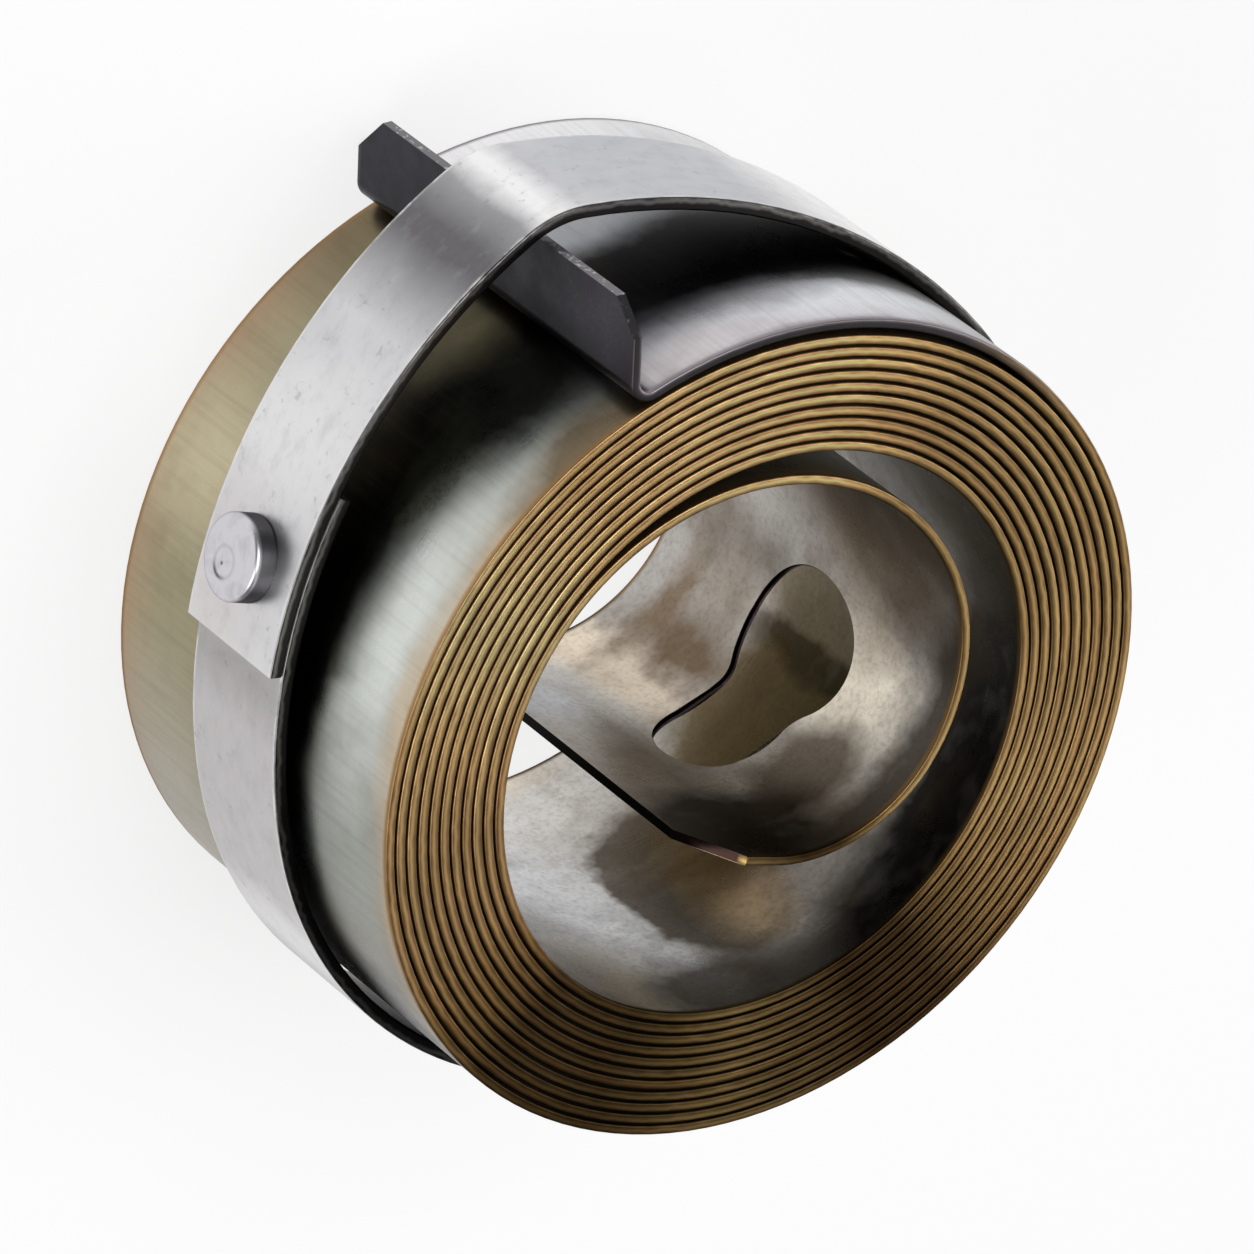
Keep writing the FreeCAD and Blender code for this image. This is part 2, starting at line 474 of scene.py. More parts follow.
def mesh_object(name: str, source: bmesh.types.BMesh) -> bpy.types.Object:
    """New object in the scene that holds a bmesh, which is freed.

    Args:
        name: name of the object and of its mesh.
        source: the bmesh.

    Returns:
        The object.
    """
    mesh = bpy.data.meshes.new(name)
    source.to_mesh(mesh)
    source.free()
    made = bpy.data.objects.new(name, mesh)
    bpy.context.scene.collection.objects.link(made)
    return made


def keyhole_outline(sizes: SpringSizes, grow: float, depth: float) -> bmesh.types.BMesh:
    """Keyhole drawn on the flat strip by swinging a point round its lobes.

    Args:
        sizes: the strip's sizes.
        grow: how far the outline lies outside the hole.
        depth: its place along Y.

    Returns:
        A mesh of one closed loop of edges.
    """
    head, slot = sizes.keyhole_head_radius + grow, sizes.keyhole_slot_half_width + grow
    waist = sizes.keyhole_waist_radius - grow
    rise, reach = slot + waist, head + waist
    run = math.sqrt(reach ** 2 - rise ** 2)
    head_x, z = sizes.keyhole_head_distance, sizes.keyhole_height
    tilt = math.degrees(math.atan2(rise, run))
    mesh = bmesh.new()
    tip = [bmesh.ops.create_vert(mesh, co=(sizes.keyhole_slot_distance, depth, z - slot))["vert"][0]]

    def swing(x: float, height: float, turn: float, steps: int) -> None:
        """Swings the end of the line about a point."""
        drawn = bmesh.ops.spin(mesh, geom=tip, cent=(x, depth, height), axis=(0, 1, 0), dvec=(0, 0, 0),
                               angle=math.radians(turn), steps=steps, use_duplicate=False)
        tip[:] = [item for item in drawn["geom_last"] if isinstance(item, bmesh.types.BMVert)]

    def slide(x: float, height: float) -> None:
        """Carries the end of the line straight to a point."""
        tip[:] = bmesh.ops.extrude_vert_indiv(mesh, verts=tip)["verts"]
        tip[0].co = (x, depth, height)

    swing(sizes.keyhole_slot_distance, z, 180.0, sizes.keyhole_lobe_steps // 2)
    slide(head_x - run, z + slot)
    swing(head_x - run, z + rise, tilt - 90.0, sizes.keyhole_waist_steps)
    swing(head_x, z, 360.0 - 2.0 * tilt, sizes.keyhole_lobe_steps)
    swing(head_x - run, z - rise, tilt - 90.0, sizes.keyhole_waist_steps)
    slide(sizes.keyhole_slot_distance, z - slot)
    bmesh.ops.remove_doubles(mesh, verts=mesh.verts[:], dist=MERGE_DISTANCE)
    return mesh


def keyhole_punch(sizes: SpringSizes, flare: float, overshoot: float = 1.0) -> bmesh.types.BMesh:
    """Punch for the keyhole, flared at both faces so that the hole's rims are broken.

    Args:
        sizes: the strip's sizes.
        flare: width of the broken rim.
        overshoot: how far the punch stands out of each face.

    Returns:
        A closed mesh.
    """
    half = sizes.half
    stations = ((-half - overshoot, flare), (-half, flare), (-half + flare, 0.0),
                (half - flare, 0.0), (half, flare), (half + overshoot, flare))
    mesh = bmesh.new()
    loops: list[list[bmesh.types.BMEdge]] = []
    for depth, grow in stations:
        outline = keyhole_outline(sizes, grow, depth)
        scratch = bpy.data.meshes.new("outline")
        outline.to_mesh(scratch)
        outline.free()
        before = len(mesh.edges)
        mesh.from_mesh(scratch)
        bpy.data.meshes.remove(scratch)
        mesh.edges.ensure_lookup_table()
        loops.append(mesh.edges[before:])
    for low, high in zip(loops, loops[1:]):
        bmesh.ops.bridge_loops(mesh, edges=low + high)
    for loop in (loops[0], loops[-1]):
        bmesh.ops.edgeloop_fill(mesh, edges=loop)
    bmesh.ops.recalc_face_normals(mesh, faces=mesh.faces[:])
    return mesh


@dataclass
class Signal:
    """A number or colour that varies over a surface, with Python's operators."""

    graph: "Graph"
    socket: bpy.types.NodeSocket

    def _math(self, operation: str, *values: "Signal | float", swap: bool = False) -> "Signal":
        """Adds one Math node."""
        inputs = [*values, self] if swap else [self, *values]
        return self.graph.add("Math", {"operation": operation}, dict(enumerate(inputs)))

    def __add__(self, other: "Signal | float") -> "Signal":
        """Sum."""
        return self._math("ADD", other)

    def __sub__(self, other: "Signal | float") -> "Signal":
        """Difference."""
        return self._math("SUBTRACT", other)

    def __rsub__(self, other: float) -> "Signal":
        """Difference from a number."""
        return self._math("SUBTRACT", other, swap=True)

    def __mul__(self, other: "Signal | float") -> "Signal":
        """Product."""
        return self._math("MULTIPLY", other)

    def __truediv__(self, other: "Signal | float") -> "Signal":
        """Quotient."""
        return self._math("DIVIDE", other)

    def __abs__(self) -> "Signal":
        """Size without sign."""
        return self._math("ABSOLUTE")

    def step(self, low: float, high: float, most: float = 1.0) -> "Signal":
        """Ramp, which falls if low is above high.

        Args:
            low: value where the ramp is 0.
            high: value where it is most.
            most: its largest value.

        Returns:
            The ramp, level beyond both values.
        """
        settings = {"interpolation_type": "LINEAR", "clamp": True}
        inputs = {"Value": self, "From Min": low, "From Max": high, "To Min": 0.0, "To Max": most}
        if low > high:
            inputs = {"Value": self, "From Min": high, "From Max": low, "To Min": most, "To Max": 0.0}
        return self.graph.add("MapRange", settings, inputs)


@dataclass(frozen=True)
class Pattern:
    """A noise: its scale, how fine and rough it is, how it swirls, and how it is drawn out."""

    scale: float
    detail: float
    rough: float
    warp: float = 0.0
    size: tuple[float, float, float] | None = None


@dataclass(frozen=True)
class Wear:
    """A colour that a pattern lays over a surface, from none at low to most at high."""

    low: float
    high: float
    most: float
    colour: Picked


class Graph:
    """Node tree that grows by signals."""

    def __init__(self, tree: bpy.types.NodeTree) -> None:
        """Takes the tree as it is."""
        self.tree = tree

    def add(self, kind: str, settings: dict[str, object] | None = None,
            inputs: dict[object, object] | None = None, output: str | int = 0) -> Signal:
        """Adds one node.

        Args:
            kind: the node's type without ShaderNode in front.
            settings: its properties; stops is a list of (place, colour) for a ramp.
            inputs: value or signal of each socket, by name or number.
            output: the socket that the signal reads.

        Returns:
            The signal of that output.
        """
        node = self.tree.nodes.new("ShaderNode" + kind)
        for key, value in (settings or {}).items():
            if key == "stops":
                self._ramp(node.color_ramp, value)
            else:
                setattr(node, key, value)
        for key, value in (inputs or {}).items():
            self.plug(node.inputs[key], value)
        return Signal(self, node.outputs[output])

    @staticmethod
    def _ramp(ramp: bpy.types.ColorRamp, stops: list[tuple[float, tuple[float, ...]]]) -> None:
        """Sets the stops of a colour ramp.

        Args:
            ramp: the ramp of a new node.
            stops: place and colour of each stop.
        """
        while len(ramp.elements) < len(stops):
            ramp.elements.new(1.0)
        for element, (place, colour) in zip(ramp.elements, stops):
            element.position = place
            element.color = colour

    def plug(self, socket: bpy.types.NodeSocket, value: object) -> None:
        """Links a signal to a socket, or sets the socket's value.

        Args:
            socket: the input.
            value: a signal, or the value to set.
        """
        if isinstance(value, Signal):
            self.tree.links.new(value.socket, socket)
        else:
            socket.default_value = value

    def mix(self, share: Signal | float, low: object, high: object, blend: str = "MIX") -> Signal:
        """Colour between low and high."""
        settings = {"data_type": "RGBA", "blend_type": blend, "clamp_factor": True}
        return self.add("Mix", settings, {0: share, 6: low, 7: high}, output=2)

    def noise(self, where: Signal, pattern: Pattern) -> Signal:
        """Cloudy pattern from 0 to 1, centred on one half.

        Args:
            where: the coordinates.
            pattern: the noise's settings.

        Returns:
            The pattern.
        """
        if pattern.size:
            where = self.stretched(where, pattern.size)
        inputs = {"Vector": where, "Scale": pattern.scale, "Detail": pattern.detail,
                  "Roughness": pattern.rough, "Distortion": pattern.warp}
        return self.add("TexNoise", {}, inputs)

    def worn(self, colour: Signal, pattern: Signal, wear: Wear) -> Signal:
        """A colour with wear laid over it."""
        return self.mix(pattern.step(wear.low, wear.high, wear.most), colour, srgb(*wear.colour))

    def bump(self, strength: float, distance: float, height: Signal) -> Signal:
        """Normal of a surface with a fine relief."""
        inputs = {"Strength": strength, "Distance": distance, "Height": height}
        return self.add("Bump", {}, inputs, "Normal")

    def stretched(self, where: Signal, size: tuple[float, float, float],
                  shift: tuple[float, float, float] = (0.0, 0.0, 0.0)) -> Signal:
        """Coordinates scaled along each axis."""
        return self.add("Mapping", {}, {"Vector": where, "Scale": size, "Location": shift})

    def seen_plainly(self) -> Signal:
        """Whether a surface is seen, and not lighting something else.

        Returns:
            1 where it is seen straight, in a reflection or through another surface, and 0 elsewhere.
        """
        seen = self.add("LightPath", {}, {}, "Is Camera Ray")
        rays = seen.socket.node.outputs
        for kind in ("Is Glossy Ray", "Is Transmission Ray"):
            either = {0: seen, 1: Signal(self, rays[kind])}
            seen = self.add("Math", {"operation": "MAXIMUM"}, either)
        return seen


class Finish(Graph):
    """Node tree of one material, with its Principled shader."""

    def __init__(self, name: str) -> None:
        """Makes a material with a Principled shader.

        Args:
            name: the material's name.
        """
        self.material = bpy.data.materials.new(name)
        self.material.use_nodes = True
        super().__init__(self.material.node_tree)
        self.tree.nodes.clear()
        self.output = self.tree.nodes.new("ShaderNodeOutputMaterial")
        self.shader = self.tree.nodes.new("ShaderNodeBsdfPrincipled")
        self.tree.links.new(self.shader.outputs[0], self.output.inputs["Surface"])

    def set(self, **values: object) -> bpy.types.Material:
        """Sets or links the shader's sockets.

        Args:
            values: value or signal of each socket, whose name has _ for a space.

        Returns:
            The material.
        """
        for key, value in values.items():
            self.plug(self.shader.inputs[key.replace("_", " ")], value)
        return self.material


@dataclass(frozen=True)
class Patch:
    """A soft-edged patch of colour, placed on the flat strip in millimetres.

    A place along the strip that is negative is measured back from its outer end.
    """

    along: float
    across: float
    wide: float
    high: float
    colour: Picked
    strength: float
    soft: float = 0.4


def laid(*rows: tuple) -> tuple[Patch, ...]:
    """Patches from rows of their values, the lowest first."""
    return tuple(Patch(*row) for row in rows)


class Strip:
    """Where a point lay on the flat strip: signals in millimetres, and patterns for its finish."""

    clouds = Pattern(160.0, 3.0, 0.66)

    def __init__(self, graph: Graph, length: float, ragged: float = 5.0) -> None:
        """Adds the nodes that read the strip's layers.

        Args:
            graph: the node tree.
            length: length of the flat strip.
            ragged: how far the edges of patches wander.
        """
        self.graph, self.length = graph, length
        self.object = graph.add("TexCoord", {}, {}, "Object")
        self.flat = graph.add("UVMap", {"uv_map": Layer.FLAT.value})
        parts = graph.add("SeparateXYZ", {}, {0: self.flat}).socket.node
        self.along, self.across = (Signal(graph, parts.outputs[axis]) / MM for axis in range(2))
        self.outward = graph.add("Attribute", {"attribute_name": Layer.OUTWARD.value}, {}, "Fac")
        self.cloud = graph.noise(self.object, self.clouds)
        drift, reach = Signal(graph, self.cloud.socket.node.outputs["Color"]), ragged * MM
        drift = graph.add("VectorMath", {"operation": "MULTIPLY_ADD"},
                          {0: drift, 1: (reach,) * 3, 2: (-reach / 2.0,) * 3})
        self.warped = graph.add("VectorMath", {"operation": "ADD"}, {0: self.flat, 1: drift})

    def strength(self, patch: Patch) -> Signal:
        """How strong a patch is at each point.

        Args:
            patch: the patch.

        Returns:
            Its share of the colour, which is 0 outside it.
        """
        place = patch.along if patch.along > 0.0 else self.length + patch.along
        scale = (1.0 / (patch.wide * MM), 1.0 / (patch.high * MM), 0.0)
        centre = (-place / patch.wide, -patch.across / patch.high, 0.0)
        offset = self.graph.stretched(self.warped, scale, centre)
        away = self.graph.add("VectorMath", {"operation": "LENGTH"}, {0: offset}, "Value")
        return away.step(1.0 + patch.soft, 1.0 - patch.soft, patch.strength)

    def painted(self, base: Signal, patches: tuple[Patch, ...]) -> Signal:
        """A colour with patches laid over it, the first one lowest.

        Args:
            base: the colour under the patches.
            patches: the patches.

        Returns:
            The colour.
        """
        for patch in patches:
            base = self.graph.mix(self.strength(patch), base, srgb(*patch.colour))
        return base


@dataclass(frozen=True)
class TemperedSteel:
    """Finish of the spring strip.

    Its outside is tempered olive and silver, with painted dark reflection and shade round the band and painted
    highlights, and its inside is stained grey steel with painted highlights and shadow. Its rims are
    brass-coloured, with painted reflection, shade and highlights. Places along the strip are in millimetres.
    """

    sizes: SpringSizes
    charcoal = srgb(58, 58, 63)
    near_black = srgb(10, 10, 9)
    grazing = (0.75, 0.75, 0.75, 1.0)
    # Multipliers of the rims' colour: a redder tone that varies from turn to turn, painted shade on the inner
    # and outer rounded edges beside the gaps, and a painted highlight line.
    rim_reddened = (0.86, 0.72, 0.72, 1.0)
    rim_inner_edge_shade = (0.16, 0.13, 0.10, 1.0)
    rim_outer_edge_shade = (0.24, 0.20, 0.16, 1.0)
    rim_highlight_line = (1.65, 1.6, 1.48, 1.0)
    hook_fade = (-0.8, 1.2)
    lift_fade = (-8.0, 4.0)
    rim_fade = (0.7, 0.25)
    grey_rim_from_end = (62.0, 44.0)
    hook_shade_fade = (32.0, 42.0)
    near_side_of_tip = (39.0, 41.0)
    past_tip = (7.0, 8.0)
    past_keyhole = (200.0, 201.0)
    broad = Pattern(26.0, 1.0, 0.5)
    flecks = Pattern(2000.0, 1.0, 0.7)
    grain = Pattern(1.0, 1.0, 0.5, size=(150.0, 5000.0, 1.0))
    streaks = Pattern(1.0, 1.0, 0.65, size=(1700.0, 70.0, 1.0))
    smoke = Pattern(1.0, 3.0, 0.7, size=(70.0, 120.0, 1.0))
    turn_to_turn = Pattern(1.0, 1.0, 0.6, size=(14.0, 1.0, 1.0))
    chatter = Pattern(1.0, 1.0, 0.6, size=(420.0, 1.0, 1.0))
    streaked = Wear(0.45, 0.75, 0.12, (74, 64, 46))
    hazed = Wear(0.5, 0.75, 0.13, (92, 78, 54))
    smoked = Wear(0.48, 0.70, 0.34, (92, 76, 54))
    wiped = Wear(0.46, 0.28, 0.12, (232, 228, 220))
    rusted = Wear(0.54, 0.72, 0.25, (104, 76, 42))
    flecked = Wear(0.45, 0.75, 0.2, (60, 52, 42))
    sheared = Wear(0.58, 0.72, 0.8, (206, 202, 204))

    # Bands of colour up the coil's outward face. The olive, beige and silver are the temper's own tint. The
    # black zone round the band's height is painted dark reflection and shade, and the light zone above it is
    # partly a painted highlight.
    coil_temper_and_reflection_bands = (
        (0.2, (176, 150, 122)), (3.0, (170, 154, 126)), (7.0, (162, 154, 126)),
        (14.0, (156, 150, 122)), (17.5, (104, 98, 78)), (22.0, (44, 42, 34)),
        (27.0, (18, 18, 15)), (29.4, (20, 20, 17)), (31.3, (56, 59, 53)),
        (33.4, (134, 138, 130)), (36.4, (166, 172, 166)), (40.5, (176, 178, 171)),
        (43.0, (168, 154, 134)), (44.9, (206, 176, 130)),
    )
    # Bands up the lifted turn: grey steel, with a painted black reflection and shade round the band's height, a
    # painted pale reflection below it and a painted highlight above it.
    lifted_steel_and_reflection_bands = (
        (0.5, (252, 251, 253)), (12.0, (240, 239, 241)), (17.0, (150, 150, 153)),
        (22.0, (46, 46, 48)), (27.0, (18, 18, 19)), (32.0, (8, 8, 9)), (34.2, (22, 22, 24)),
        (35.8, (92, 92, 96)), (38.2, (206, 206, 212)), (41.0, (212, 212, 216)),
        (43.6, (210, 205, 209)), (44.8, (160, 156, 160)),
    )
    # Patches on the outward face. Some are stains and tints. Others are painted light: dark reflection and
    # shade round the band, the hook's shadow, and highlights and reflections on the silver zone and the lifted
    # turn.
    outside_stains_and_painted_light = laid(
        (-206, 38.5, 15, 6.2, (158, 160, 154), 0.85), (-192, 38.5, 7, 8, (140, 136, 128), 0.7, 0.6),
        (-170, 35, 21, 14, (28, 25, 23), 0.98, 0.15), (-249, 33.5, 9, 5, (44, 48, 43), 0.9, 0.5),
        (-250, 43.5, 8, 3.2, (118, 104, 82), 0.9), (-252, 22.5, 5, 3.2, (92, 86, 66), 0.7, 0.7),
        (-229, 39, 13, 4.2, (226, 230, 225), 0.85, 0.7),
        (-229, 40.2, 6, 0.3, (222, 226, 222), 0.5, 0.8),
        (-222, 43.6, 8, 1.5, (206, 190, 166), 0.7, 0.7), (-229, 6, 6, 9, (206, 195, 164), 0.75, 0.7),
        (-253, 4, 7, 9, (118, 106, 82), 0.8, 0.6), (-188, 7, 17, 9, (184, 178, 164), 0.85, 0.5),
        (-49, 34.4, 5, 2.8, (20, 20, 21), 0.9, 0.5), (-37, 40.2, 10, 2.8, (244, 246, 250), 0.8, 0.6),
        (-24, 37.5, 8, 2, (130, 130, 134), 0.7, 0.7), (-15, 42.5, 6, 3, (214, 206, 208), 0.6, 0.5),
        (-17, 17.5, 9, 5.5, (160, 162, 166), 0.85), (-52, 25, 6, 5, (70, 68, 68), 0.7, 0.6),
        (-43, 27.8, 1, 0.8, (214, 214, 214), 0.9, 0.6), (-54, 41, 7, 5, (92, 90, 90), 0.5, 0.5),
    )
    # Patches on the inward face. Some are stains and tone. Others are painted light: highlights on the curl's
    # inner face and the innermost turn, and a painted shadow wedge beside the keyhole.
    inside_stains_and_painted_light = laid(
        (46, 33, 14.5, 14, (116, 107, 95), 0.9), (27.5, 32, 5.2, 7.5, (252, 242, 224), 0.95),
        (33, 31, 3.6, 4.5, (176, 164, 148), 0.8, 0.6), (18, 34.5, 6.2, 5, (104, 95, 84), 0.9, 0.25),
        (7.5, 38.6, 9.5, 6.4, (48, 41, 34), 0.98, 0.24), (20, 46, 32, 4.8, (54, 46, 37), 0.85, 0.3),
        (15, 10, 3.2, 10, (230, 212, 188), 0.75, 0.5), (14, 2, 4, 3, (250, 234, 212), 0.8, 0.5),
        (4, 17, 5, 5, (158, 152, 144), 0.6, 0.6), (3, 11, 4, 5, (196, 201, 210), 0.7, 0.6),
        (27.5, 11, 4, 6, (150, 137, 122), 0.7, 0.6), (20.5, 11.5, 3.2, 8, (104, 80, 48), 0.88, 0.55),
        (24, 5.6, 6, 1.8, (118, 90, 54), 0.7, 0.6), (33, 16.5, 2.8, 3.8, (98, 90, 80), 0.75, 0.6),
        (33.5, 7, 3.4, 4.6, (112, 100, 86), 0.7, 0.6), (38.5, 20, 6, 6, (158, 154, 148), 0.7, 0.5),
        (180, 19, 11, 14, (118, 105, 78), 0.95, 0.2), (194.5, 19, 5, 14, (146, 138, 119), 0.9, 0.25),
        (188.2, 18, 2.1, 11, (76, 69, 54), 0.9, 0.3), (148, 22, 12, 30, (238, 239, 242), 0.95, 0.2),
        (144, 40, 8.5, 9, (255, 252, 248), 1, 0.3), (157, 6, 8, 9, (228, 225, 220), 0.85),
        (174, 35, 7, 9, (118, 112, 105), 0.8), (164.5, 25.5, 7.4, 13, (110, 103, 94), 0.96, 0.07),
        (166, 31, 3.4, 5, (200, 176, 138), 0.75, 0.7), (168, 23, 4, 6, (138, 112, 76), 0.7, 0.6),
        (157.5, 41.5, 8, 5.6, (86, 81, 76), 0.85, 0.35), (155, 1.5, 9, 2.2, (236, 224, 206), 0.8, 0.5),
        (194, 44.5, 29, 10, (27, 24, 21), 0.97, 0.2), (214, 29, 9, 15, (142, 141, 139), 0.85),
    )
    # Brass round the coil, by angle. The rims are flat and face one way, so their lighter and darker arcs are
    # painted reflection.
    rim_brass_and_reflection_by_angle = (
        (0.000, (204, 168, 115)), (0.030, (166, 134, 85)), (0.060, (100, 79, 48)),
        (0.120, (90, 72, 44)), (0.150, (124, 102, 64)), (0.185, (158, 134, 88)),
        (0.217, (130, 108, 70)), (0.250, (84, 64, 39)), (0.285, (92, 72, 45)),
        (0.320, (174, 142, 92)), (0.365, (232, 192, 132)), (0.460, (206, 172, 117)),
        (0.520, (182, 153, 103)), (0.600, (178, 149, 101)), (0.660, (252, 210, 148)),
        (0.740, (244, 204, 146)), (0.780, (218, 183, 128)), (0.850, (255, 220, 162)),
        (0.900, (228, 190, 134)), (1.000, (206, 170, 118)),
    )

    def material(self) -> bpy.types.Material:
        """Builds the material.

        Returns:
            The material.
        """
        graph = Finish("tempered_steel")
        length = self.sizes.whole_path().length()
        strip = Strip(graph, length)
        wide = graph.noise(strip.object, self.broad)
        speckle = graph.noise(strip.object, self.flecks)
        body = graph.mix(strip.outward.step(-0.2, 0.2), self.inside(strip, wide, speckle),
                         self.outside(strip, wide))
        bend = length - sum(run.length for run in self.sizes.hook_path().runs[-2:])
        hooked = strip.along.step(*(bend + place for place in self.hook_fade))
        body = graph.mix(hooked, body, self.hook_colour(strip))
        colour = graph.mix(self.cut_faces(strip), body, self.cut_colour(strip, speckle))
        half = self.sizes.width / 2.0
        rim = abs(strip.across - half).step(*(half - depth for depth in self.rim_fade))
        colour = graph.mix(rim, colour, self.rim_colour(strip))
        worn = (strip.cloud - 0.5) * 0.2 + (speckle - 0.5) * 0.08 + rim * 0.12 + 0.30
        bump = graph.bump(0.06, 0.0001, graph.noise(strip.flat, self.grain))
        return graph.set(Base_Color=colour, Metallic=1.0, Roughness=worn, Normal=bump,
                         Specular_Tint=self.grazing)

    def bands(self, strip: Strip, height: Signal, bands: tuple[tuple[float, Picked], ...]) -> Signal:
        """Colour across the strip's width from a list of heights and colours."""
        stops = [(place / self.sizes.width, srgb(*colour)) for place, colour in bands]
        return strip.graph.add("ValToRGB", {"stops": stops}, {0: height / self.sizes.width})

    def outside(self, strip: Strip, wide: Signal) -> Signal:
        """Colour of the outward face: the coil's bands, then the lifted turn's, with patches; bands and patches
        carry painted reflection, shade and highlights as well as tint.

        Args:
            strip: where each point lay on the flat strip.
            wide: a broad noise.

        Returns:
            The colour.
        """
        graph, cloud = strip.graph, strip.cloud
        lift = strip.length - self.sizes.hook_path().length()
        height = strip.across + (wide - 0.5) * 2.4 + (cloud - 0.5) * 2.0
        lifted = self.bands(strip, strip.across + (cloud - 0.5) * 2.0, self.lifted_steel_and_reflection_bands)
        coil = self.bands(strip, height, self.coil_temper_and_reflection_bands)
        colour = graph.mix(strip.along.step(*(lift + place for place in self.lift_fade)), coil, lifted)
        colour = strip.painted(colour, self.outside_stains_and_painted_light)
        colour = graph.worn(colour, graph.noise(strip.flat, self.streaks), self.streaked)
        return graph.worn(colour, cloud, self.hazed)

    def inside(self, strip: Strip, wide: Signal, speckle: Signal) -> Signal:
        """Colour of the inward face: grey steel with patches of stain and of painted light, and smoke and brown
        smudges over them.

        Args:
            strip: where each point lay on the flat strip.
            wide: a broad noise.
            speckle: a fine noise.

        Returns:
            The colour.
        """
        graph = strip.graph
        colour = graph.mix(wide.step(0.35, 0.65), srgb(166, 160, 150), srgb(204, 201, 197))
        smoke = graph.noise(strip.warped, self.smoke)
        colour = strip.painted(colour, self.inside_stains_and_painted_light)
        layers = ((smoke, self.smoked), (smoke, self.wiped), (strip.cloud, self.rusted),
                  (speckle, self.flecked))
        for pattern, wear in layers:
            colour = graph.worn(colour, pattern, wear)
        return colour

    def hook_colour(self, strip: Strip) -> Signal:
        """Colour of the hook: charcoal, darker away from the near rim as painted shade of the band.

        Args:
            strip: where each point lay on the flat strip.

        Returns:
            The colour.
        """
        graph = strip.graph
        dark = graph.mix(strip.cloud.step(0.35, 0.7), self.charcoal, srgb(42, 42, 47))
        # Painted shade of the band: the hook is darker below these heights and lighter towards the near rim.
        return graph.mix(strip.across.step(*self.hook_shade_fade), dark, srgb(84, 81, 88))

    def cut_faces(self, strip: Strip) -> Signal:
        """1 on the sheared faces between the strip's two sides."""
        return abs(strip.outward).step(*CUT_FACE)

    def cut_colour(self, strip: Strip, speckle: Signal) -> Signal:
        """Colour of the sheared faces: grey at the hook, black at the curl, and black in the keyhole with its
        burr lighter, partly a painted highlight.

        Args:
            strip: where each point lay on the flat strip.
            speckle: a fine noise.

        Returns:
            The colour.
        """
        graph = strip.graph
        # The keyhole's wall is black, with light silver-purple towards the outward face: the burr there, partly
        # a painted highlight.
        hole = graph.mix(strip.outward.step(-0.1, 0.3), self.near_black, srgb(206, 184, 204))
        tip = graph.mix(strip.across.step(*self.near_side_of_tip), self.near_black, srgb(52, 38, 34))
        inner = graph.mix(strip.along.step(*self.past_tip), tip, hole)
        hook = graph.worn(srgb(122, 120, 124), speckle, self.sheared)
        return graph.mix(strip.along.step(*self.past_keyhole), inner, hook)

    def rim_colour(self, strip: Strip) -> Signal:
        """Colour of the rims: brass, with painted reflection lighter and darker round the coil, painted shade
        at the turns' edges and a painted highlight line, and grey on the lifted turn.

        Args:
            strip: where each point lay on the flat strip.

        Returns:
            The colour.
        """
        graph = strip.graph
        turn = graph.add("TexGradient", {"gradient_type": "RADIAL"}, {0: strip.object}, "Fac")
        stops = [(place, srgb(*colour)) for place, colour in self.rim_brass_and_reflection_by_angle]
        colour = graph.add("ValToRGB", {"stops": stops}, {0: turn})
        each = graph.noise(strip.flat, self.turn_to_turn)
        chatter = graph.noise(strip.flat, self.chatter)
        lay = strip.outward + (chatter - 0.5) * 0.8 + (each - 0.5) * 1.2
        # Over a random redder tone: painted shade on the rounded edges beside the gaps between turns, and a
        # painted highlight line along each rim.
        tints = (
            (each.step(0.38, 0.66, 0.5), self.rim_reddened),
            (lay.step(-0.1, -0.9, 0.8), self.rim_inner_edge_shade),
            (lay.step(0.45, 0.95, 0.74), self.rim_outer_edge_shade),
            (abs(lay - 0.15).step(0.45, 0.0), self.rim_highlight_line),
        )
        for share, tint in tints:
            colour = graph.mix(share, colour, tint, "MULTIPLY")
        grey = graph.mix(strip.outward.step(0.2, 0.9), srgb(84, 81, 83), srgb(152, 144, 148))
        lifted = strip.along.step(*(strip.length - place for place in self.grey_rim_from_end))
        return graph.mix(lifted, colour, grey)


